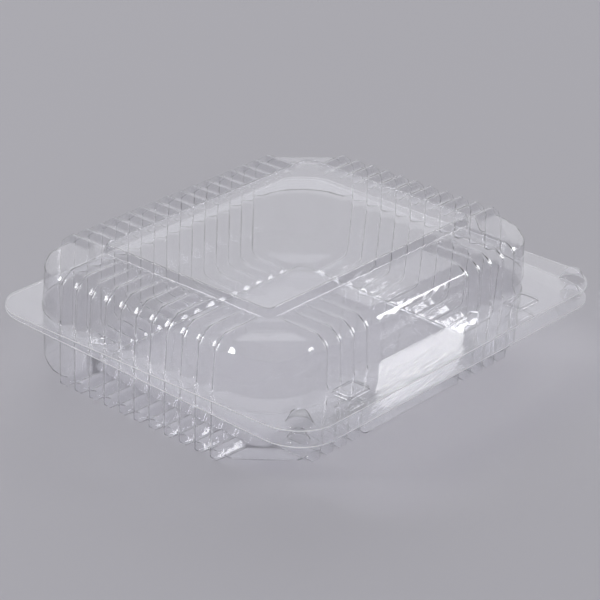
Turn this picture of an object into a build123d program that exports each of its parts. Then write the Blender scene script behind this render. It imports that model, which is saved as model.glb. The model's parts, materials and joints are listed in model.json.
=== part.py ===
"""Clear plastic clamshell pack: a ribbed tray and a ribbed lid joined by a living hinge.

Units are millimetres. +Z is up, X runs along the hinge and the opening side faces -Y.
The origin is the centre of the rim's outline, on the surface that the pack stands on.
The whole pack is one thermoformed sheet: the tray and the lid are the two halves that
turn about the fold. The lid stands a little open, as it springs up while its snap
buttons aren't pressed home.
"""
from math import atan, degrees, radians, sqrt, tan
import os

from build123d import *

# The sheet and the outline of the two flanges
sheet = 0.45
rim_length = 210.0
rim_width = 177.0
rim_corner = 19.5

# The ribbed body, measured over its rib crests where it meets the flange
body_length = 195.2
body_width = 151.8
body_shift = 8.1
body_corner = 27.0
wall_draft = 3.0

# Ribs: corrugations with 45 degree flanks, narrow flat crests and flat valleys
rib_pitch = 8.62
rib_crest = 1.2
rib_depth = 3.0
end_ribs = 11
hinge_ribs = 16
front_ribs = 4
front_panel = 61.0

# Shoulder and shelf: how far inside the crest line the crest and the valley turn
wall_inset = 1.4
shoulder_inset = 4.3
crease_inset = 7.9
crease_corner_cut = 40.0
ledge_corner_cut = 53.5
shelf_inset = 26.6
foot_inset = 22.0
side_slope = 36.0
corner_slope = 27.5
shelf_corner_ease = 3.0
ledge_drop = 0.4
rib_tail = 8.0
flank_overlap = 0.4
skirt = 4.0

# Heights above the flange: crest wall, crest shoulder, crest shelf, valley crease, valley shelf
lid_heights = (19.3, 21.3, 24.0, 20.8, 21.4)
tray_heights = (26.8, 29.0, 30.0, 28.0, 27.6)

# The lid's raised middle, and the recess under the tray that takes it when packs stack
plateau_height = 27.3
plateau_edge_inset = 29.1
plateau_corner = 7.0
bead_width = 1.4
bead_height = 0.4
bead_draft = 20.0
plateau_root = 2.0
stack_clearance = 0.6
foot_recess = 4.0

# Snap buttons and lock pads on the front flange
button_x = 94.6
button_y = 78.1
button_foot = 5.0
button_top = 2.7
button_height = 4.0
pad_x = 59.0
pad_y = 75.6
pad_length = 13.0
pad_width = 8.6
pad_height = 1.6
pad_corner = 1.5
pad_draft = 25.0
snap_clearance = 0.35
cut_overlap = 0.01

# The fold: the gap between the closed flanges, and how far the lid has sprung open
flange_gap = 0.6
hinge_overhang = 0.3
lid_ajar = 2.1

# Values worked out from the driving dimensions
half_length = body_length / 2
half_width = body_width / 2
tray_depth = tray_heights[2]
hinge_y = rim_width / 2 + hinge_overhang
hinge_z = tray_depth + flange_gap / 2
plateau_rise = plateau_height - lid_heights[2]
middle_start = lid_heights[4] - plateau_root
middle_reach = plateau_height - middle_start
crest_narrowing = 2 * tan(radians(45 / 2))
flank_reach = rib_depth + flank_overlap


def octagon(half_x, half_y, corner_cut):
    """Corner points of a rectangle whose four corners are cut at 45 degrees."""
    ring = []
    for side_x, side_y in ((1, 1), (-1, 1), (-1, -1), (1, -1)):
        on_end = (side_x * half_x, side_y * (half_y - corner_cut))
        on_side = (side_x * (half_x - corner_cut), side_y * half_y)
        ring += [on_end, on_side] if side_x * side_y > 0 else [on_side, on_end]
    return ring


def rib_places(half_x, half_y):
    """Where each rib stands on the body's outline, its local x axis pointing inwards."""
    places = []
    for index in range(end_ribs):
        y = (index - (end_ribs - 1) / 2) * rib_pitch
        places.append(Plane((-half_x, y, 0), x_dir=(1, 0, 0), z_dir=(0, -1, 0)).location)
        places.append(Plane((half_x, y, 0), x_dir=(-1, 0, 0), z_dir=(0, 1, 0)).location)
    for index in range(hinge_ribs):
        x = (index - (hinge_ribs - 1) / 2) * rib_pitch
        places.append(Plane((x, half_y, 0), x_dir=(0, -1, 0), z_dir=(-1, 0, 0)).location)
        if index < front_ribs or index >= hinge_ribs - front_ribs:
            places.append(Plane((x, -half_y, 0), x_dir=(0, 1, 0), z_dir=(1, 0, 0)).location)
    return places


def formed_rib(profile, width):
    """One rib with its crest profile in the XY plane and flanks that taper at 45 degrees."""
    with BuildPart() as rib:
        for side in (1, -1):
            with BuildSketch(Plane.XY.offset(side * width / 2)):
                with BuildLine():
                    Polyline(*profile, close=True)
                make_face()
            extrude(amount=-side * width / 2)
            extrude(rib.faces().sort_by(Axis.Z)[-1 if side > 0 else 0], amount=flank_reach, taper=45)
    return rib.part


def formed_block(heights, level_inset, skin):
    """The solid inside the formed sheet, `skin` below its outer surface, ribs and all.

    The rib crests rise gently from the shoulder and run level from `level_inset` inwards.
    """
    wall_z, shoulder_z, shelf_z, crease_z, valley_z = [height - skin for height in heights]
    half_x = half_length - skin
    half_y = half_width - skin
    crest = rib_crest - crest_narrowing * skin
    flare = skirt * tan(radians(wall_draft))

    # Valley level: four sloping shoulders with cut corners under a nearly flat shelf
    drop = crease_z + skirt
    side_run = drop / tan(radians(side_slope))
    corner_run = drop / tan(radians(corner_slope))
    crease_x = half_x - crease_inset
    crease_y = half_y - crease_inset
    crease_cut = crease_corner_cut - 2 * crease_inset
    low_cut = crease_cut + 2 * side_run - sqrt(2) * corner_run
    inner_x = half_x - shelf_inset
    inner_y = half_y - shelf_inset
    ledge_cut = ledge_corner_cut - 2 * shelf_inset
    levels = (
        (-skirt, octagon(crease_x + side_run, crease_y + side_run, low_cut)),
        (crease_z, octagon(crease_x, crease_y, crease_cut)),
        (valley_z, octagon(inner_x, inner_y, ledge_cut + shelf_corner_ease)),
    )
    with BuildPart() as shoulders:
        for level, ring in levels:
            with BuildSketch(Plane.XY.offset(level)):
                with BuildLine():
                    Polyline(*ring, close=True)
                make_face()
        loft(ruled=True)

    # The drafted wall with round corners, and the ledges between the last ribs
    with BuildPart() as block:
        with BuildSketch(Plane.XY.offset(-skirt)):
            RectangleRounded(
                2 * (half_x - rib_depth + flare),
                2 * (half_y - rib_depth + flare),
                body_corner - skin + flare,
            )
        extrude(amount=skirt + valley_z, taper=wall_draft)
        add(shoulders.part, mode=Mode.INTERSECT)
        with BuildSketch(Plane.XY.offset(shelf_z - ledge_drop)):
            with BuildLine():
                Polyline(*octagon(inner_x, inner_y, ledge_cut), close=True)
            make_face()
        extrude(amount=-rib_depth, taper=-45)

        # Ribs on all four sides, and the wide plain panel in the middle of the front
        profile = (
            (shelf_inset + rib_tail, -skirt),
            (-flare, -skirt),
            (wall_inset, wall_z),
            (shoulder_inset, shoulder_z),
            (level_inset, shelf_z),
            (shelf_inset + rib_tail, shelf_z),
        )
        with Locations(*rib_places(half_x, half_y)):
            add(formed_rib(profile, crest))
        with Locations(Plane((0, -half_y, 0), x_dir=(0, 1, 0), z_dir=(1, 0, 0)).location):
            add(formed_rib(profile, crest + front_panel - rib_crest))
    return block.part


def middle_rise(start, reach, edge_distance, grow):
    """The sloping block of the raised middle, from a height over a signed reach.

    It has the plateau's outline, `grow` wider all round, at `edge_distance` from its start.
    """
    slope = (plateau_edge_inset - shelf_inset) / plateau_rise
    spread = edge_distance * slope + grow
    with BuildPart() as rise:
        with BuildSketch(Plane.XY.offset(start)):
            RectangleRounded(
                body_length - 2 * plateau_edge_inset + 2 * spread,
                body_width - 2 * plateau_edge_inset + 2 * spread,
                plateau_corner + spread,
            )
        extrude(amount=reach, taper=degrees(atan(slope)))
    return rise.part


def snap_form(grow, lift):
    """Both snap buttons and both lock pads as solids standing on the XY plane.

    They are `grow` wider all round than the sizes above, and `lift` higher.
    """
    with BuildPart() as snaps:
        with Locations((-button_x, -button_y), (button_x, -button_y)):
            Cone(
                bottom_radius=button_foot + grow,
                top_radius=button_top + grow,
                height=button_height + lift,
                align=(Align.CENTER, Align.CENTER, Align.MIN),
            )
        with BuildSketch():
            with Locations((-pad_x, -pad_y), (pad_x, -pad_y)):
                RectangleRounded(pad_length + 2 * grow, pad_width + 2 * grow, pad_corner + grow)
        extrude(amount=pad_height + lift, taper=pad_draft)
    return snaps.part


# Tray, formed upside down: the flange and the ribbed dish, hollowed from its open side
with BuildPart() as tray_cavity:
    with Locations((0, body_shift, 0)):
        add(formed_block(tray_heights, foot_inset, sheet))
        add(
            middle_rise(tray_depth, -foot_recess - sheet, plateau_rise, stack_clearance + sheet),
            mode=Mode.SUBTRACT,
        )

with BuildPart() as tray_form:
    with BuildSketch():
        RectangleRounded(rim_length, rim_width, rim_corner)
    extrude(amount=sheet)
    with Locations((0, body_shift, 0)):
        add(formed_block(tray_heights, foot_inset, 0))
        add(middle_rise(tray_depth, -foot_recess, plateau_rise, stack_clearance), mode=Mode.SUBTRACT)
    split(bisect_by=Plane.XY, keep=Keep.TOP)
    add(tray_cavity.part, mode=Mode.SUBTRACT)

with BuildPart() as base_tray:
    add(tray_form.part.mirror(Plane.XY).moved(Location((0, 0, tray_depth))))
    with Locations((0, 0, tray_depth)):
        add(snap_form(0, 0))
    with Locations((0, 0, tray_depth - sheet)):
        add(snap_form(-sheet, 0), mode=Mode.SUBTRACT)
base_tray.part.label = "base_tray"

# Lid, formed closed above the tray, then swung open about the fold
with BuildPart() as lid_cavity:
    with Locations((0, body_shift, 0)):
        add(formed_block(lid_heights, shelf_inset, sheet))
        add(middle_rise(middle_start, middle_reach - sheet, middle_reach, -sheet))

with BuildPart() as lid_form:
    with BuildSketch():
        RectangleRounded(rim_length, rim_width, rim_corner)
    extrude(amount=sheet)
    with Locations((0, body_shift, 0)):
        add(formed_block(lid_heights, shelf_inset, 0))
        add(middle_rise(middle_start, middle_reach, middle_reach, 0))
    with BuildSketch(Plane.XY.offset(plateau_height)):
        with Locations((0, body_shift)):
            RectangleRounded(
                body_length - 2 * plateau_edge_inset,
                body_width - 2 * plateau_edge_inset,
                plateau_corner,
            )
            RectangleRounded(
                body_length - 2 * (plateau_edge_inset + bead_width),
                body_width - 2 * (plateau_edge_inset + bead_width),
                plateau_corner - bead_width,
                mode=Mode.SUBTRACT,
            )
    extrude(amount=bead_height, taper=bead_draft)
    add(snap_form(snap_clearance + sheet, snap_clearance + sheet))
    split(bisect_by=Plane.XY, keep=Keep.TOP)
    add(lid_cavity.part, mode=Mode.SUBTRACT)
    with Locations((0, 0, -cut_overlap)):
        add(snap_form(snap_clearance, snap_clearance), mode=Mode.SUBTRACT)

hinge_axis = Axis((0, hinge_y, hinge_z), (1, 0, 0))
with BuildPart() as lid:
    add(lid_form.part.moved(Location((0, 0, tray_depth + flange_gap))).rotate(hinge_axis, -lid_ajar))
lid.part.label = "lid"

os.makedirs("parts", exist_ok=True)
export_step(base_tray.part, "parts/base_tray.step")
export_step(lid.part, "parts/lid.step")
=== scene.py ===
# %% [markdown]
# # A clear clamshell pack
# The pack is a food pack of thin clear sheet. Two halves are formed over one mould and joined by a fold.
# This lesson loads the pack's plain CAD frame and gives it the folds, ribs and gloss of the real film.
# It goes in the order in which a maker would think: the view, the plastic, the sizes, the ribs, the
# corners, the stamped parts, the two halves, the fold, and last the table and the lamps.

# %% Load the frame
import json
import math
import bmesh
import bpy
import numpy as np
from mathutils import Matrix, Vector


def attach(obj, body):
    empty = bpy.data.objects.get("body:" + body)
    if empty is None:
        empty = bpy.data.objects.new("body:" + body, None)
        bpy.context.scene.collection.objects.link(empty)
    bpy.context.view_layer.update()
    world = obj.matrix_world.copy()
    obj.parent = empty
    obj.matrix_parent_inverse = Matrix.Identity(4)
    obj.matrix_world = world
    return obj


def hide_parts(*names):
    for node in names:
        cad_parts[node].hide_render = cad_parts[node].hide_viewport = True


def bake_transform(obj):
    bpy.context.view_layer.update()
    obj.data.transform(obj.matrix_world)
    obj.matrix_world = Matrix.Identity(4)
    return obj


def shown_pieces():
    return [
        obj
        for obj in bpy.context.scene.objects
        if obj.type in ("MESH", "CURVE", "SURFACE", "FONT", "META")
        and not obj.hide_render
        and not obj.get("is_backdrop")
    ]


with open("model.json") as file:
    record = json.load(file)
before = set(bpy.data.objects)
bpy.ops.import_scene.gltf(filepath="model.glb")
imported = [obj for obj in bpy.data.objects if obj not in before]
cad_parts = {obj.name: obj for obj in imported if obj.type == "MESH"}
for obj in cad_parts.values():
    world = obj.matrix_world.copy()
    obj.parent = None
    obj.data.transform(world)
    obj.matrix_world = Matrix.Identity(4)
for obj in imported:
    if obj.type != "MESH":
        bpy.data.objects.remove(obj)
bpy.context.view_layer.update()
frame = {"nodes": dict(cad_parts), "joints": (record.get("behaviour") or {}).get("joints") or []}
print("CAD nodes:", sorted(frame["nodes"]))

# %% [markdown]
# ## The camera
# A view from above one corner shows the lid, the flange and two walls at once.
# A camera can be aimed by a Track To constraint. Here its three axes are worked out and written into one
# matrix instead, because that also gives the small roll about the line of sight.

# %% Place the camera
CAMERA_PLACE = Vector((-0.80686, -0.63347, 0.54545))
CAMERA_TURN = math.radians(-51.835)
CAMERA_LIFT = math.radians(26.689)
CAMERA_ROLL = math.radians(4.347)
CAMERA_LENS = 157.13


def place_camera(place, turn, lift, roll, lens_length):
    """A camera at this place that looks back along the direction given by turn and lift."""
    back = Vector((math.sin(turn) * math.cos(lift), -math.cos(turn) * math.cos(lift), math.sin(lift)))
    level = Vector((0.0, 0.0, 1.0)).cross(back).normalized()
    up = back.cross(level)
    right = math.cos(roll) * level + math.sin(roll) * up
    top = -math.sin(roll) * level + math.cos(roll) * up
    lens = bpy.data.cameras.new("pack_camera")
    lens.sensor_width = 36.0
    lens.lens = lens_length
    lens.clip_start = 0.01
    camera = bpy.data.objects.new("pack_camera", lens)
    bpy.context.scene.collection.objects.link(camera)
    placing = Matrix((right, top, back)).transposed().to_4x4()
    placing.translation = place
    camera.matrix_world = placing
    bpy.context.scene.camera = camera
    return camera


place_camera(CAMERA_PLACE, CAMERA_TURN, CAMERA_LIFT, CAMERA_ROLL, CAMERA_LENS)
print("camera stands", round(CAMERA_PLACE.length, 3), "m from the origin")

# %% [markdown]
# ## Marks that forming leaves
# Sheet that was warmed and drawn over a mould is never quite flat or evenly bright: it has long, shallow
# ripples and patches that are a little duller. Two noises give both: one feeds a Bump node, the other is
# turned into a range of roughness. They sit in a node group with named inputs, so that the film's face and
# its cut edge can share the effect at different strengths.

# %% Build the node group for the marks
def forming_marks():
    """A shader node group: ripples as a normal, uneven gloss as a roughness."""
    group = bpy.data.node_groups.new("forming_marks", "ShaderNodeTree")
    for label in ("Ripple Scale", "Ripple Height", "Gloss Low", "Gloss High"):
        group.interface.new_socket(label, in_out="INPUT", socket_type="NodeSocketFloat")
    group.interface.new_socket("Normal", in_out="OUTPUT", socket_type="NodeSocketVector")
    group.interface.new_socket("Roughness", in_out="OUTPUT", socket_type="NodeSocketFloat")
    come = group.nodes.new("NodeGroupInput")
    leave = group.nodes.new("NodeGroupOutput")
    place = group.nodes.new("ShaderNodeTexCoord")
    ripple = group.nodes.new("ShaderNodeTexNoise")
    ripple.inputs["Detail"].default_value = 2.0
    bump = group.nodes.new("ShaderNodeBump")
    bump.inputs["Strength"].default_value = 1.0
    haze = group.nodes.new("ShaderNodeTexNoise")
    haze.inputs["Scale"].default_value = 35.0
    haze.inputs["Detail"].default_value = 3.0
    spread = group.nodes.new("ShaderNodeMapRange")
    join = group.links.new
    join(place.outputs["Object"], ripple.inputs["Vector"])
    join(place.outputs["Object"], haze.inputs["Vector"])
    join(come.outputs["Ripple Scale"], ripple.inputs["Scale"])
    join(come.outputs["Ripple Height"], bump.inputs["Distance"])
    join(ripple.outputs["Fac"], bump.inputs["Height"])
    join(haze.outputs["Fac"], spread.inputs["Value"])
    join(come.outputs["Gloss Low"], spread.inputs["To Min"])
    join(come.outputs["Gloss High"], spread.inputs["To Max"])
    join(bump.outputs["Normal"], leave.inputs["Normal"])
    join(spread.outputs["Result"], leave.inputs["Roughness"])
    return group


marks = forming_marks()
print("marks group has", len(marks.nodes), "nodes")


# %% Put the marks in a material
def add_marks(tree, scale, height, gloss_low, gloss_high):
    """The group's node in this material, with its own values."""
    made = tree.nodes.new("ShaderNodeGroup")
    made.node_tree = marks
    made.inputs["Ripple Scale"].default_value = scale
    made.inputs["Ripple Height"].default_value = height
    made.inputs["Gloss Low"].default_value = gloss_low
    made.inputs["Gloss High"].default_value = gloss_high
    return made


print("marks take", [item.name for item in marks.interface.items_tree if item.in_out == "INPUT"])

# %% [markdown]
# ## The clear sheet
# A ray that meets a thin sheet goes in at one face and out at the other, so it is hardly bent, yet both
# faces mirror the lamps strongly. One index of refraction can't give both. The shader's base has an index
# close to air, so that nothing behind it shifts, and a coat with a high index does the mirroring.
# A transmission a little under one leaves a faint haze, as cheap film has.
# Clear plastic also casts a pale shadow. Tracing that through many thin walls is slow and noisy, so shadow
# rays meet a nearly clear Transparent shader instead.

# %% Make the clear sheet
FILM_TINT = (0.968, 0.968, 0.978, 1.0)
SHADOW_TINT = (0.93, 0.93, 0.94, 1.0)
FILM_CLEARNESS = 0.988
FILM_BEND = 1.06
FILM_MIRROR = 1.6


def clear_sheet(name):
    """Glossy clear film with forming marks and a pale shadow."""
    material = bpy.data.materials.new(name)
    material.use_nodes = True
    tree = material.node_tree
    tree.nodes.clear()
    out = tree.nodes.new("ShaderNodeOutputMaterial")
    shader = tree.nodes.new("ShaderNodeBsdfPrincipled")
    shader.inputs["Base Color"].default_value = FILM_TINT
    shader.inputs["Transmission Weight"].default_value = FILM_CLEARNESS
    shader.inputs["IOR"].default_value = FILM_BEND
    shader.inputs["Coat Weight"].default_value = 1.0
    shader.inputs["Coat Roughness"].default_value = 0.04
    shader.inputs["Coat IOR"].default_value = FILM_MIRROR
    made = add_marks(tree, 70.0, 0.00025, 0.02, 0.1)
    path = tree.nodes.new("ShaderNodeLightPath")
    clear = tree.nodes.new("ShaderNodeBsdfTransparent")
    clear.inputs["Color"].default_value = SHADOW_TINT
    mix = tree.nodes.new("ShaderNodeMixShader")
    tree.links.new(made.outputs["Normal"], shader.inputs["Normal"])
    tree.links.new(made.outputs["Normal"], shader.inputs["Coat Normal"])
    tree.links.new(made.outputs["Roughness"], shader.inputs["Roughness"])
    tree.links.new(path.outputs["Is Shadow Ray"], mix.inputs["Fac"])
    tree.links.new(shader.outputs["BSDF"], mix.inputs[1])
    tree.links.new(clear.outputs["BSDF"], mix.inputs[2])
    tree.links.new(mix.outputs["Shader"], out.inputs["Surface"])
    return material


sheet_finish = clear_sheet("clear_pet")
print("made", sheet_finish.name)

# %% [markdown]
# ## The cut edge
# The halves are punched out of the sheet after forming. A punched edge is slightly matt and pale. The edge
# has a diffuse, nearly white surface and finer marks from the punch, and a little painted glow: an emission
# that stands in for the light that clear film pipes along itself and lets out at the rim. Together they make
# the rim of the pack read as a pale line.

# %% Make the cut edge with its painted glow
EDGE_TINT = (0.93, 0.93, 0.95, 1.0)
EDGE_PAINTED_GLOW = (0.95, 0.95, 1.0, 1.0)


def cut_edge_painted_glow(name):
    """The pale, slightly matt edge of punched film, with a painted glow."""
    material = bpy.data.materials.new(name)
    material.use_nodes = True
    tree = material.node_tree
    shader = tree.nodes["Principled BSDF"]
    shader.inputs["Base Color"].default_value = EDGE_TINT
    # Painted glow: a weak emission that keeps the rim a pale line under any lamp.
    shader.inputs["Emission Color"].default_value = EDGE_PAINTED_GLOW
    shader.inputs["Emission Strength"].default_value = 0.3
    made = add_marks(tree, 900.0, 0.00005, 0.28, 0.42)
    tree.links.new(made.outputs["Normal"], shader.inputs["Normal"])
    tree.links.new(made.outputs["Roughness"], shader.inputs["Roughness"])
    return material


edge_finish_painted_glow = cut_edge_painted_glow("cut_edge_painted_glow")
print("made", edge_finish_painted_glow.name)

# %% [markdown]
# ## The sizes
# The mould is drawn in millimetres, as a mould maker would, and turned into metres when a half is placed.
# Each half has a section from its flange to its flat middle. A point of the section has a distance in from
# the body's outline and a height over the flange. There are two sections: one over the crest of a rib
# and one down in the valley between two ribs. The same row of both is the same fold of the film, so a
# flank between them needs nothing more. The hinge's place comes from the frame's joint.

# %% Sizes of the body and the rim
SHEET = 0.45
BODY_HALF = (97.6, 75.9)
BODY_SHIFT = 8.1
RIM_HALF = (105.0, 88.5)
RIM_CORNER = 19.5
FOLD_EDGE = 87.95
TRAY_DEEP = 30.0
LID_LIFT = 30.6
AXIS_Y = frame["joints"][0]["pos_m"][1] * 1000.0
AXIS_Z = frame["joints"][0]["pos_m"][2] * 1000.0
AJAR = math.radians(2.1)
print("rim", 2 * RIM_HALF[0], "by", 2 * RIM_HALF[1], "mm, hinge at", AXIS_Y, AXIS_Z)

# %% Sizes of the ribs
PITCH = 8.62
CREST_HALF = 0.6
PANEL_HALF = 30.5
END_GAP = 3.6
SIDE_RIBS = 11
BACK_RIBS = 16
FRONT_RIBS = 4
print("ribs on the back:", BACK_RIBS, "over", round((BACK_RIBS - 1) * PITCH, 1), "mm")

# %% The two sections of each half
LID_MIDDLE = [(27.8, 24.0), (29.1, 27.3), (29.4, 27.7), (30.2, 27.7), (30.6, 27.3), (32.2, 27.3)]
LID = {
    "crest": [(-1.5, 0.45), (0.0, 0.45), (0.95, 17.9), (2.9, 20.4), (7.2, 23.7), (25.6, 23.95),
              (26.9, 24.0)] + LID_MIDDLE,
    "valley": [(-1.5, 0.45), (3.0, 0.45), (3.9, 17.2), (5.8, 19.3), (8.9, 21.5), (26.2, 21.5),
               (26.9, 23.9)] + LID_MIDDLE,
    "facet_low": 19.97, "chamfer": 0.86,
}
TRAY_MIDDLE = [(26.0, 30.0), (28.6, 26.3), (29.4, 26.0), (30.3, 26.0), (31.0, 26.0), (32.2, 26.0)]
TRAY = {
    "crest": [(-1.5, 0.45), (0.0, 0.45), (1.4, 26.6), (4.1, 29.0), (7.8, 29.6), (22.0, 30.0),
              (25.0, 30.0)] + TRAY_MIDDLE,
    "valley": [(-1.5, 0.45), (3.0, 0.45), (4.3, 24.9), (6.2, 26.6), (8.9, 27.7), (23.4, 27.8),
               (25.0, 29.8)] + TRAY_MIDDLE,
    "facet_low": 26.13, "chamfer": 0.609,
}
WALL_ROW = 2
SHOULDER_ROW = 3
SHELF_ROW = 4
LEDGE_ROW = 5
RISE_ROW = 6
print("each section has", len(LID["crest"]), "rows")

# %% [markdown]
# ## The ribs
# Ribs stiffen film that is only half a millimetre thick. They stand at one pitch on every side, and the
# front has a plain panel in its middle, which is only one very wide rib. So a side is a list of ribs, each
# with a centre and half of its crest's width, and the same code makes ribs and panel.

# %% Rib centres on a side
SIDES = [((1, 0), (0, 1)), ((0, 1), (-1, 0)), ((-1, 0), (0, -1)), ((0, -1), (1, 0))]


def even_ribs(count, total):
    """The first few of a row of ribs that would hold this many in all, centred on the side."""
    return [((k - (total - 1) / 2.0) * PITCH, CREST_HALF) for k in range(count)]


def side_ribs(side):
    """Right, back, left and front, in that order."""
    if side in (0, 2):
        return even_ribs(SIDE_RIBS, SIDE_RIBS)
    if side == 1:
        return even_ribs(BACK_RIBS, BACK_RIBS)
    left = even_ribs(FRONT_RIBS, BACK_RIBS)
    right = [(-centre, half) for centre, half in reversed(left)]
    return left + [(0.0, PANEL_HALF)] + right


print("ribs a side:", [len(side_ribs(side)) for side in range(4)])

# %% [markdown]
# ## A point on the wall
# Along the straight part of a side a point lies straight in from the outline. Past it the body turns into
# the corner, and the row bends with it. A plain arc would fold the last ribs over each other, so the
# angle is eased with a tanh, which starts as the arc does and settles at a limit.

# %% Place a point of a side
WALL_CORNER = 30.0
SHOULDER_IN = 9.0
MIDDLE_CORNER = 4.0
MIDDLE_EDGE = 29.1
MIDDLE_END = 31.0
BEND_LIMIT = math.radians(36.0)


def row_radius(row, inset):
    """How round this row runs at a corner."""
    if row < RISE_ROW:
        return WALL_CORNER - min(inset, SHOULDER_IN)
    return MIDDLE_CORNER + (MIDDLE_EDGE - min(inset, MIDDLE_END))


def ring_point(side, along_side, row, inset, z):
    """A point of one row, this far along a side from its middle."""
    normal, along = SIDES[side]
    out_half, run_half = BODY_HALF if side in (0, 2) else BODY_HALF[::-1]
    radius = row_radius(row, inset)
    straight = run_half - inset - radius
    deep = out_half - inset
    run = along_side
    over = abs(along_side) - straight
    if over > 0.0 and row not in (SHELF_ROW, LEDGE_ROW):
        angle = BEND_LIMIT * math.tanh(over / radius / BEND_LIMIT)
        run = math.copysign(straight + radius * math.sin(angle), along_side)
        deep = deep - radius + radius * math.cos(angle)
    return (normal[0] * deep + along[0] * run, normal[1] * deep + along[1] * run, z)


print("front wall, middle, foot:", ring_point(3, 0.0, 1, 0.0, SHEET))

# %% [markdown]
# ## The flank of a rib
# A rib's flank goes down at 45 degrees with a small round at its crest and at its foot. Six stations across
# it are enough: where each round starts, its middle and its end.

# %% Stations down a flank
def flank_stations(half, span, mid):
    """Six (sideways, depth) pairs for a flank this deep, with the valley's middle at mid."""
    run = max(span, 0.25)
    length = math.hypot(run, span)
    top = min(0.30, 0.45 * half, 0.3 * length)
    low = min(0.35, 0.3 * length, max(0.45 * (mid - half - run), 0.05))
    step = (run / length, span / length)
    crest_start = (half - top, 0.0)
    crest_end = (half + top * step[0], top * step[1])
    crest_mid = (0.25 * crest_start[0] + 0.5 * half + 0.25 * crest_end[0], 0.25 * crest_end[1])
    foot = (half + run, span)
    foot_start = (foot[0] - low * step[0], foot[1] - low * step[1])
    foot_end = (foot[0] + low, span)
    foot_mid = (0.25 * foot_start[0] + 0.5 * foot[0] + 0.25 * foot_end[0], 0.25 * foot_start[1] + 0.75 * span)
    return [crest_start, crest_mid, crest_end, foot_start, foot_mid, foot_end]


for sideways, depth in flank_stations(CREST_HALF, 3.0, 4.3):
    print("station of a 3 mm rib:", round(sideways, 2), round(depth, 2))


# %% One column of key points
def key_column(form, side, centre, half, sign, station, mid):
    """The section at one station of a rib: None is the crest's centre, "mid" the valley's."""
    keys = []
    for row, (crest, valley) in enumerate(zip(form["crest"], form["valley"])):
        span = math.hypot(valley[0] - crest[0], valley[1] - crest[1])
        if station is None:
            sideways, depth = 0.0, 0.0
        elif station == "mid":
            sideways, depth = mid, span
        else:
            sideways, depth = flank_stations(half, span, mid)[station]
        share = depth / span if span > 1e-6 else 0.0
        inset = crest[0] + (valley[0] - crest[0]) * share
        z = crest[1] + (valley[1] - crest[1]) * share
        keys.append(ring_point(side, centre + sign * sideways, row, inset, z))
    return keys


panel_keys = key_column(LID, 3, 0.0, PANEL_HALF, 1.0, None, PANEL_HALF)
print("the panel's centre line climbs to", max(key[2] for key in panel_keys), "mm")

# %% [markdown]
# ## The corners
# Between the last rib of a side and the first of the next the film is drawn over a plain round corner. Its
# shoulder is cut off by a sloping facet, and above it a low pad slopes to the ledge round the flat middle.
# Each corner column runs from the flange to the middle as a rib's does, so that corner and ribs share
# their rows and leave no seam. The first and last ribs lean their outer flank on the pad's slope.

# %% Sizes of a corner
ARC_CENTRE = (67.6, 45.9)
ARC_RADIUS = 27.0
DRAFT = math.tan(math.radians(3.0))
FACET_SUM = 141.47
FACET_SLOPE = 0.359
CREST_SUM = 120.0
FOOT_SUM = 123.8
PAD_START = (88.7, 48.4)
PAD_END = (70.1, 67.0)
PAD_REST = 0.12
LEDGE_ENDS = (77.3, 68.05)
RISE_ENDS = (76.0, 65.4)
MIDDLE_TURN = (38.0, 52.0)
LONG_LEAN = ((76.3, 43.7), (77.3, 46.5))
SHORT_LEAN = ((65.25, 54.75), (68.05, 55.75))
CORNER_COLUMNS = 13
print("pad's edge is", round(math.hypot(PAD_START[0] - PAD_END[0], PAD_START[1] - PAD_END[1]), 1), "mm long")


# %% Points of a corner column
def blend_points(start, end, share):
    """The point this share of the way from start to end."""
    return tuple(a + (b - a) * share for a, b in zip(start, end))


def facet_height(form, x, y):
    """How high the corner's facet is over this place."""
    return form["facet_low"] - FACET_SLOPE * (x + y - FACET_SUM)


def corner_wall_point(form, turn):
    """Where the drafted round wall meets the shoulder's chamfer or the facet, whichever is lower."""
    shelf = form["valley"][SHELF_ROW]
    z = form["valley"][WALL_ROW][1]
    for _ in range(6):
        radius = ARC_RADIUS - z * DRAFT
        x = ARC_CENTRE[0] + radius * math.cos(turn)
        y = ARC_CENTRE[1] + radius * math.sin(turn)
        near = min(BODY_HALF[0] - x, BODY_HALF[1] - y)
        z = min(shelf[1] - (shelf[0] - near) * form["chamfer"], facet_height(form, x, y))
    return (x, y, z)


def corner_middle_point(row, inset, z, share):
    """A point of the rows round the flat middle, whose own corner is small."""
    radius = row_radius(row, inset)
    turn = math.radians(MIDDLE_TURN[0] + (MIDDLE_TURN[1] - MIDDLE_TURN[0]) * share)
    x = BODY_HALF[0] - inset - radius + radius * math.cos(turn)
    y = BODY_HALF[1] - inset - radius + radius * math.sin(turn)
    return (x, y, z)


def corner_point(form, row, share):
    """A point of the corner where x and y are positive; share goes from the long side to the other."""
    inset, z = form["valley"][row]
    turn = math.radians(90.0) * share
    if row < WALL_ROW:
        radius = WALL_CORNER - inset
        return (ARC_CENTRE[0] + radius * math.cos(turn), ARC_CENTRE[1] + radius * math.sin(turn), z)
    if row in (WALL_ROW, SHOULDER_ROW):
        return corner_wall_point(form, turn)
    if row == SHELF_ROW:
        eased = min(max((share - PAD_REST) / (1.0 - 2.0 * PAD_REST), 0.0), 1.0)
        return blend_points(PAD_START, PAD_END, eased) + (z,)
    if row == LEDGE_ROW:
        x = LEDGE_ENDS[0] + (LEDGE_ENDS[1] - LEDGE_ENDS[0]) * share
        return (x, FOOT_SUM - x, z)
    if row == RISE_ROW:
        x = RISE_ENDS[0] + (RISE_ENDS[1] - RISE_ENDS[0]) * share
        return (x, CREST_SUM - x, form["crest"][RISE_ROW][1])
    return corner_middle_point(row, inset, z, share)


print("lid's corner, middle of the wall's top:", corner_point(LID, WALL_ROW, 0.5))


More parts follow.
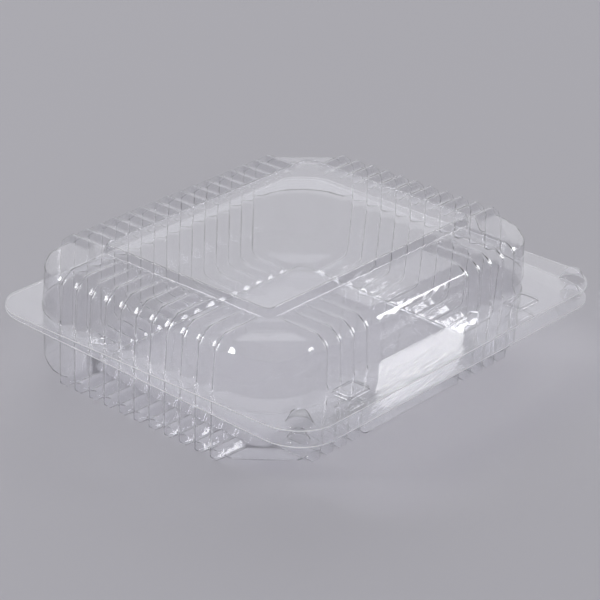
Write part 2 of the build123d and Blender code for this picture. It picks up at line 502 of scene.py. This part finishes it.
# %% All columns of a corner
def corner_shoulder(form, keys):
    """The shoulder's point: on the chamfer where the wall meets that, and up the facet elsewhere."""
    x, y, z = keys[WALL_ROW]
    if z >= facet_height(form, x, y) - 1e-4:
        return blend_points(keys[WALL_ROW], keys[SHELF_ROW], 0.4)
    inset, shoulder_z = form["valley"][SHOULDER_ROW]
    mid = blend_points(keys[WALL_ROW], keys[SHELF_ROW], 0.4)
    if BODY_HALF[0] - x < BODY_HALF[1] - y:
        return (BODY_HALF[0] - inset, mid[1], shoulder_z)
    return (mid[0], BODY_HALF[1] - inset, shoulder_z)


def corner_keys(form, side):
    """Key columns from the last rib of one side to the first rib of the next."""
    normal, along = SIDES[side]
    sign_x = math.copysign(1.0, normal[0] + along[0])
    sign_y = math.copysign(1.0, normal[1] + along[1])
    columns = []
    for k in range(1, CORNER_COLUMNS + 1):
        share = k / (CORNER_COLUMNS + 1)
        share = share if side in (0, 2) else 1.0 - share
        keys = [corner_point(form, row, share) for row in range(len(form["valley"]))]
        keys[SHOULDER_ROW] = corner_shoulder(form, keys)
        columns.append([(x * sign_x, y * sign_y, z) for x, y, z in keys])
    return columns


print("columns in a corner:", len(corner_keys(LID, 0)))


# %% Lean the last rib on the corner
def bend_last_rib(form, side, sign, station, keys):
    """The outer flank of the last rib turns into the corner's slope."""
    normal, along = SIDES[side]
    long_side = side in (0, 2)
    crest, valley = form["crest"][LEDGE_ROW], form["valley"][LEDGE_ROW]
    span = math.hypot(valley[0] - crest[0], valley[1] - crest[1])
    sideways = flank_stations(CREST_HALF, span, END_GAP + CREST_HALF)[station][0]
    share = (sideways - CREST_HALF) / span
    crest_z = form["crest"][RISE_ROW][1]
    z = crest_z + (valley[1] - crest_z) * (keys[LEDGE_ROW][2] - crest[1]) / (valley[1] - crest[1])
    nudge = 0.05 * station
    start, end = LONG_LEAN if long_side else SHORT_LEAN
    low = blend_points(start, end, share)
    top = (start[0] - nudge, start[1] + nudge) if long_side else (start[0] + nudge, start[1] - nudge)
    sign_x = math.copysign(1.0, normal[0] + sign * along[0])
    sign_y = math.copysign(1.0, normal[1] + sign * along[1])
    keys[LEDGE_ROW] = (low[0] * sign_x, low[1] * sign_y, z)
    keys[RISE_ROW] = (top[0] * sign_x, top[1] * sign_y, crest_z)
    return keys


print("last ribs lean from", LONG_LEAN[0], "and", SHORT_LEAN[0])

# %% [markdown]
# ## Once round the pack
# All columns are made in one walk round the body: down one flank of a rib, over its crest, down the other
# flank, across the valley to the next rib, and round the corner after the last one.

# %% All key columns of a half
def valley_reach(ribs, k, step):
    """From a rib's centre to the middle of the valley beside it, or to the corner."""
    centre, half = ribs[k]
    if not 0 <= k + step < len(ribs):
        return END_GAP + half
    next_centre, next_half = ribs[k + step]
    gap = abs(next_centre - centre) - next_half - half
    return gap / 2.0 + half


def rib_columns(form, side, ribs, k):
    """Thirteen columns over one rib, and one in the valley after it unless it is the last."""
    centre, half = ribs[k]
    before = valley_reach(ribs, k, -1)
    after = valley_reach(ribs, k, 1)
    last = k == len(ribs) - 1
    columns = []
    for station in (5, 4, 3, 2, 1, 0):
        keys = key_column(form, side, centre, half, -1.0, station, before)
        columns.append(bend_last_rib(form, side, -1.0, station, keys) if k == 0 else keys)
    columns.append(key_column(form, side, centre, half, 1.0, None, after))
    for station in (0, 1, 2, 3, 4, 5):
        keys = key_column(form, side, centre, half, 1.0, station, after)
        columns.append(bend_last_rib(form, side, 1.0, station, keys) if last else keys)
    if not last:
        columns.append(key_column(form, side, centre, half, 1.0, "mid", after))
    return columns


def all_key_columns(form):
    """Every column of a half, in order round the pack."""
    columns = []
    for side in range(4):
        ribs = side_ribs(side)
        for k in range(len(ribs)):
            columns.extend(rib_columns(form, side, ribs, k))
        columns.extend(corner_keys(form, side))
    return columns


print("columns round the lid:", len(all_key_columns(LID)))

# %% [markdown]
# ## Rounded folds
# Warm film can't follow a sharp mould, so every fold has a small radius. Each key point becomes three
# points: one before it, one pulled half way towards it, and one after it. That is a quadratic curve drawn
# with two straight pieces, enough for a fold that is under a millimetre across.

# %% Round a column
EASES = [0.0, 0.5, 0.3, 0.35, 0.45, 0.3, 0.25, 0.35, 0.2, 0.15, 0.15, 0.15, 0.0]
EASE_SHARE = 0.45


def round_column(keys):
    """The column's points with every inner key point eased."""
    points = [np.array(keys[0])]
    for j in range(1, len(keys) - 1):
        before, fold, after = (np.array(keys[i]) for i in (j - 1, j, j + 1))
        back = np.linalg.norm(before - fold)
        on = np.linalg.norm(after - fold)
        ease = min(EASES[j], EASE_SHARE * back, EASE_SHARE * on)
        start = fold + (before - fold) * (ease / max(back, 1e-6))
        end = fold + (after - fold) * (ease / max(on, 1e-6))
        points.extend([start, 0.25 * start + 0.5 * fold + 0.25 * end, end])
    points.append(np.array(keys[-1]))
    return points


print("points in a rounded column:", len(round_column(corner_keys(LID, 0)[0])))

# %% [markdown]
# ## Helpers for Geometry Nodes
# What repeats or follows a rule is made by node trees: the skin over the columns, the stamped buttons and
# pads, and the film of the fold. Each tree has named inputs for its sizes. An input of a modifier is set
# by its socket's identifier, and before the object is first evaluated. The result is then turned into a
# plain mesh, so that nothing in the finished scene depends on the tree.

# %% Start a tree, and do sums in it
def start_tree(name, whole, sizes):
    """A tree with a geometry input, whole-number inputs and length inputs."""
    tree = bpy.data.node_groups.new(name, "GeometryNodeTree")
    tree.interface.new_socket("Geometry", in_out="INPUT", socket_type="NodeSocketGeometry")
    for label in whole:
        tree.interface.new_socket(label, in_out="INPUT", socket_type="NodeSocketInt")
    for label in sizes:
        tree.interface.new_socket(label, in_out="INPUT", socket_type="NodeSocketFloat")
    tree.interface.new_socket("Geometry", in_out="OUTPUT", socket_type="NodeSocketGeometry")
    return tree, tree.nodes.new("NodeGroupInput").outputs


def sum_node(tree, operation, *values):
    """The output of a Math node whose inputs are other outputs or plain numbers."""
    node = tree.nodes.new("ShaderNodeMath")
    node.operation = operation
    for socket, value in zip(node.inputs, values):
        if isinstance(value, (int, float)):
            socket.default_value = value
        else:
            tree.links.new(value, socket)
    return node.outputs[0]


def chain_node(tree, kind, geometry, **inputs):
    """A node that takes a geometry, with its other inputs linked by name."""
    node = tree.nodes.new(kind)
    if geometry is not None:
        tree.links.new(geometry, node.inputs[0])
    for label, value in inputs.items():
        tree.links.new(value, node.inputs[label.replace("_", " ")])
    return node


def end_tree(tree, geometry, finish):
    """Smooth shading, real geometry and the finish, as every tree here ends."""
    smooth = chain_node(tree, "GeometryNodeSetShadeSmooth", geometry)
    real = chain_node(tree, "GeometryNodeRealizeInstances", smooth.outputs[0])
    paint = chain_node(tree, "GeometryNodeSetMaterial", real.outputs[0])
    paint.inputs["Material"].default_value = finish
    tree.links.new(paint.outputs[0], tree.nodes.new("NodeGroupOutput").inputs[0])
    return tree


print("ready to build trees for", bpy.app.version_string)

# %% Use a tree on a mesh
def make_plain(piece):
    """Swap the object's mesh for the result of its modifiers, and remove them."""
    made = bpy.data.meshes.new_from_object(piece.evaluated_get(bpy.context.evaluated_depsgraph_get()))
    piece.modifiers.clear()
    piece.data = made
    made.name = piece.name
    return piece


def set_finishes(mesh, *finishes):
    """All faces on the first of these finishes; a tree leaves an empty slot before its own."""
    mesh.polygons.foreach_set("material_index", [0] * len(mesh.polygons))
    mesh.materials.clear()
    for finish in finishes:
        mesh.materials.append(finish)


def set_tree(piece, tree, sizes):
    """Give the object this tree, with each named input set through its identifier."""
    modifier = piece.modifiers.new("nodes", "NODES")
    modifier.node_group = tree
    for item in tree.interface.items_tree:
        if item.name in sizes:
            modifier[item.identifier] = sizes[item.name]
    return modifier


def mesh_object(name, points, edges=()):
    """An object in the scene that holds these points."""
    mesh = bpy.data.meshes.new(name)
    mesh.from_pydata([tuple(p) for p in points], list(edges), [])
    piece = bpy.data.objects.new(name, mesh)
    bpy.context.scene.collection.objects.link(piece)
    return piece


def mesh_by_tree(name, points, edges, tree, sizes):
    """Only the mesh that a tree makes from these points."""
    piece = mesh_object(name, points, edges)
    set_tree(piece, tree, sizes)
    mesh = make_plain(piece).data
    bpy.data.objects.remove(piece)
    return mesh


print("meshes so far:", sorted(mesh.name for mesh in bpy.data.meshes))

# %% [markdown]
# ## The skin over the columns
# The ribbed wall is a loft: a skin stretched over neighbouring columns, closed into a ring. Blender has no
# loft node, but a Grid with as many points as the columns have can take each point's place from them
# with Sample Index. The grid has one column more than the pack, which lands on the first and is merged
# with it.

# %% Tree for the skin
def place_and_merge(tree, grid, position):
    """Move the grid's points to their places and merge the seam."""
    moved = chain_node(tree, "GeometryNodeSetPosition", grid.outputs["Mesh"], Position=position)
    merged = chain_node(tree, "GeometryNodeMergeByDistance", moved.outputs[0])
    merged.inputs["Distance"].default_value = 0.0005
    return merged.outputs[0]


def sample_points(tree, geometry, index):
    """The place of the point with this index in the incoming geometry."""
    place = tree.nodes.new("GeometryNodeInputPosition")
    sample = tree.nodes.new("GeometryNodeSampleIndex")
    sample.data_type = "FLOAT_VECTOR"
    tree.links.new(geometry, sample.inputs["Geometry"])
    tree.links.new(place.outputs[0], sample.inputs["Value"])
    tree.links.new(index, sample.inputs["Index"])
    return sample.outputs[0]


def skin_tree():
    """A closed ring of columns, skinned."""
    tree, given = start_tree("column_skin", ("Columns", "Rows"), ())
    wide = sum_node(tree, "ADD", given["Columns"], 1.0)
    grid = chain_node(tree, "GeometryNodeMeshGrid", None, Vertices_X=wide, Vertices_Y=given["Rows"])
    count = sum_node(tree, "MULTIPLY", given["Columns"], given["Rows"])
    index = tree.nodes.new("GeometryNodeInputIndex").outputs[0]
    place = sample_points(tree, given["Geometry"], sum_node(tree, "MODULO", index, count))
    return end_tree(tree, place_and_merge(tree, grid, place), sheet_finish)


skin = skin_tree()
print("skin tree has", len(skin.nodes), "nodes")

# %% [markdown]
# ## Buttons and pads
# Two round snap buttons lock the front corners, and two low oblong pads lock the flange beside the
# panel. Both are stamped into the film, with slanted sides so that they leave the mould. Both are one
# profile carried round a rounded oblong. A round button is the oblong with no straight parts.
# The tree carries the profile round with a cosine and a sine, and pushes each quarter out to its corner by
# their signs. Then it sets one copy on each side of the pack. The lid's stamps are larger, so
# that they fit over the tray's.

# %% Tree for the stamps
def stamp_tree():
    """A profile carried round an oblong, once on each side of the pack."""
    sizes = ("Corner X", "Corner Y", "Side Place", "Front Place")
    tree, given = start_tree("pressed_stamps", ("Steps", "Rows"), sizes)
    wide = sum_node(tree, "ADD", given["Steps"], 1.0)
    grid = chain_node(tree, "GeometryNodeMeshGrid", None, Vertices_X=wide, Vertices_Y=given["Rows"])
    index = tree.nodes.new("GeometryNodeInputIndex").outputs[0]
    row = sum_node(tree, "MODULO", index, given["Rows"])
    column = sum_node(tree, "DIVIDE", sum_node(tree, "SUBTRACT", index, row), given["Rows"])
    step = sum_node(tree, "DIVIDE", 2.0 * math.pi, given["Steps"])
    angle = sum_node(tree, "MULTIPLY", sum_node(tree, "ADD", column, 0.5), step)
    profile = chain_node(tree, "ShaderNodeSeparateXYZ", sample_points(tree, given["Geometry"], row))
    place = tree.nodes.new("ShaderNodeCombineXYZ")
    for axis, turn, corner in (("X", "COSINE", "Corner X"), ("Y", "SINE", "Corner Y")):
        reach = sum_node(tree, turn, angle)
        push = sum_node(tree, "MULTIPLY", sum_node(tree, "SIGN", reach), given[corner])
        tree.links.new(sum_node(tree, "MULTIPLY_ADD", profile.outputs["X"], reach, push), place.inputs[axis])
    tree.links.new(profile.outputs["Z"], place.inputs["Z"])
    stamp = place_and_merge(tree, grid, place.outputs[0])
    start = tree.nodes.new("ShaderNodeCombineXYZ")
    tree.links.new(sum_node(tree, "MULTIPLY", given["Side Place"], -1.0), start.inputs["X"])
    tree.links.new(given["Front Place"], start.inputs["Y"])
    across = tree.nodes.new("ShaderNodeCombineXYZ")
    tree.links.new(sum_node(tree, "MULTIPLY", given["Side Place"], 2.0), across.inputs["X"])
    ends = {"Start_Location": start.outputs[0], "Offset": across.outputs[0]}
    line = chain_node(tree, "GeometryNodeMeshLine", None, **ends)
    line.inputs["Count"].default_value = 2
    both = chain_node(tree, "GeometryNodeInstanceOnPoints", line.outputs["Mesh"], Instance=stamp)
    return end_tree(tree, both.outputs["Instances"], sheet_finish)


stamps = stamp_tree()
print("stamp tree has", len(stamps.nodes), "nodes")

# %% Sizes of the stamps
BUTTON = {"place": (94.6, -78.1), "foot": 5.0, "top": 2.7, "tall": 4.0, "steps": 40}
PAD = {"place": (59.0, -75.6), "half": (6.5, 4.3), "corner": 1.8, "steps": 24}
PAD_INSETS = (-0.3, -0.06, 0.12, 0.5, 0.72, 1.0)
PAD_HEIGHTS = (0.0, 0.1, 0.4, 1.25, 1.5, 1.6)


def stamp_mesh(name, radii, heights, rise, corner, place, steps):
    """Both copies of one stamp, for a flange whose upper face is one sheet up."""
    points = [(radius, 0.0, SHEET + rise * height) for radius, height in zip(radii, heights)]
    edges = [(k, k + 1) for k in range(len(points) - 1)]
    sizes = {"Steps": steps, "Rows": len(points), "Corner X": corner[0], "Corner Y": corner[1],
             "Side Place": place[0], "Front Place": place[1]}
    return mesh_by_tree(name, points, edges, stamps, sizes)


def button_mesh(grow, rise):
    """The snap buttons; rise is 1 where they stand up from the drawn flange and -1 where they sink."""
    foot = BUTTON["foot"] + grow
    top = BUTTON["top"] + grow
    tall = BUTTON["tall"] + max(grow, 0.0)
    radii = (foot + 0.45, foot + 0.12, foot - 0.16, top + 0.2, top - 0.1, top - 0.5)
    heights = (0.0, 0.1, 0.45, tall - 0.45, tall - 0.1, tall)
    return stamp_mesh("buttons", radii, heights, rise, (0.0, 0.0), BUTTON["place"], BUTTON["steps"])


def pad_mesh(grow, rise):
    """The lock pads, lower and oblong."""
    radii = [PAD["corner"] - inset for inset in PAD_INSETS]
    corner = [half + grow - PAD["corner"] for half in PAD["half"]]
    return stamp_mesh("pads", radii, PAD_HEIGHTS, rise, corner, PAD["place"], PAD["steps"])


print("points in a pair of buttons:", len(button_mesh(0.0, 1.0).vertices))

# %% [markdown]
# ## One half
# Wall, buttons and pads each end in a ring of open edges at the flange. With the outline of the rim they
# bound the flange, which is filled with triangles between all the rings at once. The tops are
# closed with flat faces. The film then gets its thickness from Solidify, towards the inside, with the
# second material on the rim. Weighted normals keep the flat areas flat and round only the folds.

# %% Outline of the rim
def rim_loop(steps):
    """The rim's rounded outline, cut straight where the fold is."""
    loop = []
    for sign_x, sign_y, start in ((1, 1, 0), (-1, 1, 90), (-1, -1, 180), (1, -1, 270)):
        for k in range(steps + 1):
            angle = math.radians(start + 90.0 * k / steps)
            x = sign_x * (RIM_HALF[0] - RIM_CORNER) + RIM_CORNER * math.cos(angle)
            y = sign_y * (RIM_HALF[1] - RIM_CORNER) + RIM_CORNER * math.sin(angle)
            loop.append((x, min(y, FOLD_EDGE), SHEET))
    return loop


print("points in the rim:", len(rim_loop(12)))


# %% Join the parts with a flange
def close_loops(bm, edges):
    """One flat face on every closed run of these edges."""
    beside = {}
    for edge in edges:
        one, two = edge.verts
        beside.setdefault(one, []).append(two)
        beside.setdefault(two, []).append(one)
    while beside:
        loop = [next(iter(beside))]
        ahead = [point for point in beside.pop(loop[0]) if point in beside]
        while ahead:
            loop.append(ahead[0])
            ahead = [point for point in beside.pop(ahead[0]) if point in beside]
        bm.faces.new(loop)


def join_flange(name, parts):
    """One mesh of wall, stamps, tops and the flange between them, seen from outside the half."""
    bm = bmesh.new()
    for part in parts:
        bm.from_mesh(part)
    feet = []
    tops = []
    for edge in bm.edges:
        if edge.is_boundary:
            level = all(abs(point.co.z - SHEET) < 1e-4 for point in edge.verts)
            (feet if level else tops).append(edge)
    close_loops(bm, tops)
    rim = [bm.verts.new(p) for p in rim_loop(12)]
    feet += [bm.edges.new((one, two)) for one, two in zip(rim, rim[1:] + rim[:1])]
    bmesh.ops.triangle_fill(bm, use_beauty=True, use_dissolve=False, edges=feet)
    bmesh.ops.remove_doubles(bm, verts=bm.verts, dist=0.002)
    bmesh.ops.recalc_face_normals(bm, faces=bm.faces)
    print(name, "open edges, all on the rim:", sum(edge.is_boundary for edge in bm.edges))
    middle = max(bm.faces, key=lambda face: len(face.verts))
    if middle.normal.z < 0.0:
        bmesh.ops.reverse_faces(bm, faces=bm.faces)
    mesh = bpy.data.meshes.new(name)
    bm.to_mesh(mesh)
    bm.free()
    return mesh


# %% Wall thickness and shading
def thicken(piece):
    """The sheet's thickness, with the cut edge's finish and its painted glow on the rim."""
    wall = piece.modifiers.new("wall", "SOLIDIFY")
    wall.thickness = SHEET / 1000.0
    wall.offset = -1.0
    wall.use_even_offset = False
    wall.material_offset_rim = 1
    even = piece.modifiers.new("even_shading", "WEIGHTED_NORMAL")
    even.mode = "FACE_AREA"
    even.keep_sharp = True
    print(piece.name, "wall", SHEET, "mm")


def build_half(name, form, grow, rise, place, upside):
    """A finished half; upside is True where it hangs below its flange."""
    columns = [round_column(keys) for keys in all_key_columns(form)]
    points = [(p[0], p[1] + BODY_SHIFT, p[2]) for column in columns for p in column]
    wall = mesh_by_tree("wall", points, (), skin, {"Columns": len(columns), "Rows": len(columns[0])})
    mesh = join_flange(name, (wall, button_mesh(grow, rise), pad_mesh(grow, rise)))
    set_finishes(mesh, sheet_finish, edge_finish_painted_glow)
    place(mesh)
    if upside:
        mesh.flip_normals()
    mesh.shade_smooth()
    piece = bpy.data.objects.new(name, mesh)
    bpy.context.scene.collection.objects.link(piece)
    thicken(piece)
    make_plain(piece)
    print(name, len(piece.data.vertices), "points", len(piece.data.polygons), "faces")
    return piece


# %% [markdown]
# ## The two halves in their places
# Each half was drawn with its flange down and its middle up. The lid stays so, is lifted on the tray and
# turned about the hinge by the small angle at which an unlocked lid stands. The tray is turned upside
# down, which swaps inside and outside, so its faces are flipped.

# %% Build the halves
def place_lid(mesh):
    """Lift the lid on the tray and turn it ajar about the hinge, in metres."""
    cos_a = math.cos(AJAR)
    sin_a = math.sin(AJAR)
    for point in mesh.vertices:
        x, y, z = point.co
        back = y - AXIS_Y
        up = z + LID_LIFT - AXIS_Z
        y = AXIS_Y + back * cos_a + up * sin_a
        z = AXIS_Z - back * sin_a + up * cos_a
        point.co = (x / 1000.0, y / 1000.0, z / 1000.0)


def place_tray(mesh):
    """Hang the tray below its flange, in metres."""
    for point in mesh.vertices:
        point.co = (point.co.x / 1000.0, point.co.y / 1000.0, (TRAY_DEEP - point.co.z) / 1000.0)


cover_sheet = build_half("cover_sheet", LID, 0.8, 1.0, place_lid, False)
tray_sheet = build_half("tray_sheet", TRAY, -0.4, -1.0, place_tray, True)

# %% [markdown]
# ## The fold
# The two flanges are one piece of film, and the fold between them is only a line where it was pressed thin.
# The strip is a half round of film along the hinge. A tree bends a flat Grid: the way across becomes an
# angle, and a cosine and a sine put it round the hinge line. It starts on the tray and ends on the lid.

# %% Make the film of the fold
FOLD_WIDTH = 0.168
FOLD_DEPTH = 0.0006
FOLD_RISE = 0.00074
FOLD_FILM = 0.00035
FOLD_BACK = 0.0879


def fold_tree():
    """A half round of film along a line."""
    sizes = ("Width", "Depth", "Rise", "Back", "Height")
    tree, given = start_tree("fold_film", ("Along", "Round"), sizes)
    grid = chain_node(tree, "GeometryNodeMeshGrid", None, Size_X=given["Width"],
                      Vertices_X=given["Along"], Vertices_Y=given["Round"])
    grid.inputs["Size Y"].default_value = 1.0
    flat = chain_node(tree, "ShaderNodeSeparateXYZ", tree.nodes.new("GeometryNodeInputPosition").outputs[0])
    angle = sum_node(tree, "MULTIPLY", flat.outputs["Y"], math.pi)
    place = tree.nodes.new("ShaderNodeCombineXYZ")
    back = sum_node(tree, "MULTIPLY_ADD", sum_node(tree, "COSINE", angle), given["Depth"], given["Back"])
    high = sum_node(tree, "MULTIPLY_ADD", sum_node(tree, "SINE", angle), given["Rise"], given["Height"])
    tree.links.new(flat.outputs["X"], place.inputs["X"])
    tree.links.new(back, place.inputs["Y"])
    tree.links.new(high, place.inputs["Z"])
    bent = chain_node(tree, "GeometryNodeSetPosition", grid.outputs["Mesh"], Position=place.outputs[0])
    outward = chain_node(tree, "GeometryNodeFlipFaces", bent.outputs[0])
    return end_tree(tree, outward.outputs[0], sheet_finish)


def fold_strip():
    """The strip of film, a third of a millimetre thick."""
    strip = mesh_object("fold_strip", ())
    sizes = {"Along": 61, "Round": 9, "Width": FOLD_WIDTH, "Depth": FOLD_DEPTH, "Rise": FOLD_RISE,
             "Back": FOLD_BACK, "Height": AXIS_Z / 1000.0}
    set_tree(strip, fold_tree(), sizes)
    wall = strip.modifiers.new("wall", "SOLIDIFY")
    wall.thickness = FOLD_FILM
    wall.offset = -1.0
    make_plain(strip)
    set_finishes(strip.data, sheet_finish)
    return strip


strip = fold_strip()
print("fold_strip", len(strip.data.vertices), "points", [m.name for m in strip.data.materials])

# %% [markdown]
# ## What moves with what
# The tray's film rides on the base and the lid's film on the cover, and each takes the place of its plain
# CAD node. The strip rides on neither; its transform is baked into its points.

# %% Hand the pieces to the frame
PLACES = (
    (tray_sheet, "base", "base_tray", "tray_sheet"),
    (cover_sheet, "cover", "lid", "lid_sheet"),
)
for piece, body, node, slot_name in PLACES:
    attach(piece, body)
    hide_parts(node)
    print(piece.name, "rides on", body)
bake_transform(strip)

# %% [markdown]
# ## The table
# The pack stands on a plain pale card that is much larger than the view, so that no edge shows. It is
# only slightly glossy, as coated card is.

# %% Make the floor
FLOOR_SIZE = 14.0
FLOOR_TINT = (0.6, 0.59, 0.625, 1.0)


def flat_floor(size):
    """A square card under the pack, which isn't part of it."""
    mesh = bpy.data.meshes.new("studio_floor")
    half = size / 2.0
    corners = [(-half, -half, 0.0), (half, -half, 0.0), (half, half, 0.0), (-half, half, 0.0)]
    mesh.from_pydata(corners, [], [(0, 1, 2, 3)])
    floor = bpy.data.objects.new("studio_floor", mesh)
    bpy.context.scene.collection.objects.link(floor)
    material = bpy.data.materials.new("floor_card")
    material.use_nodes = True
    shader = material.node_tree.nodes["Principled BSDF"]
    shader.inputs["Base Color"].default_value = FLOOR_TINT
    shader.inputs["Roughness"].default_value = 0.36
    shader.inputs["Specular IOR Level"].default_value = 0.12
    mesh.materials.append(material)
    floor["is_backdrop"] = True
    return floor


flat_floor(FLOOR_SIZE)
print("floor is", FLOOR_SIZE, "m wide")

# %% [markdown]
# ## The light
# Clear film is seen by what it mirrors, so the room matters more than the lamps. The room is dim all
# round and has one pale wall, which the flat middle and the flanges mirror. The sky's brightness comes
# from how nearly a direction points at that wall. Two soft boxes then draw the bright strokes on the
# shoulders of the ribs: each stands where those slopes mirror it.

# %% Light the room
ROOM_DIM = (0.34, 0.34, 0.355, 1.0)
ROOM_PALE = (0.81, 0.81, 0.845, 1.0)
PALE_WALL = (0.702, 0.552, 0.449)


def studio_room():
    """A dim room with one pale wall."""
    world = bpy.data.worlds.new("studio")
    bpy.context.scene.world = world
    world.use_nodes = True
    tree = world.node_tree
    aim = tree.nodes.new("ShaderNodeTexCoord")
    toward = tree.nodes.new("ShaderNodeVectorMath")
    toward.operation = "DOT_PRODUCT"
    toward.inputs[1].default_value = PALE_WALL
    glow = tree.nodes.new("ShaderNodeMapRange")
    glow.interpolation_type = "SMOOTHSTEP"
    glow.inputs["From Min"].default_value = 0.55
    glow.inputs["From Max"].default_value = 0.97
    tones = tree.nodes.new("ShaderNodeMix")
    tones.data_type = "RGBA"
    tones.inputs["A"].default_value = ROOM_DIM
    tones.inputs["B"].default_value = ROOM_PALE
    tree.links.new(aim.outputs["Generated"], toward.inputs[0])
    tree.links.new(toward.outputs["Value"], glow.inputs["Value"])
    tree.links.new(glow.outputs["Result"], tones.inputs["Factor"])
    tree.links.new(tones.outputs["Result"], tree.nodes["Background"].inputs["Color"])
    return world


room = studio_room()
print("room has", len(room.node_tree.nodes), "nodes")


# %% Hang the soft boxes
def softbox(name, direction, distance, size, power):
    """A square lamp that faces the pack from this direction."""
    lamp = bpy.data.lights.new(name, "AREA")
    lamp.shape = "RECTANGLE"
    lamp.size = size
    lamp.size_y = size
    lamp.energy = power
    box = bpy.data.objects.new(name, lamp)
    bpy.context.scene.collection.objects.link(box)
    away = Vector(direction).normalized()
    box.matrix_world = Matrix.Translation(away * distance) @ away.to_track_quat("Z", "Y").to_matrix().to_4x4()
    print(name, power, "W")
    return box


softbox("softbox_left", (-0.55, 0.552, 0.625), 3.0, 0.78, 20.5)
softbox("softbox_right", (0.702, -0.47, 0.535), 3.0, 0.6, 9.0)
bpy.context.scene.view_settings.view_transform = "Standard"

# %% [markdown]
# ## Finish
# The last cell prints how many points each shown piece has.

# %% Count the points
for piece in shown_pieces():
    print(piece.name, len(piece.data.vertices), "points")
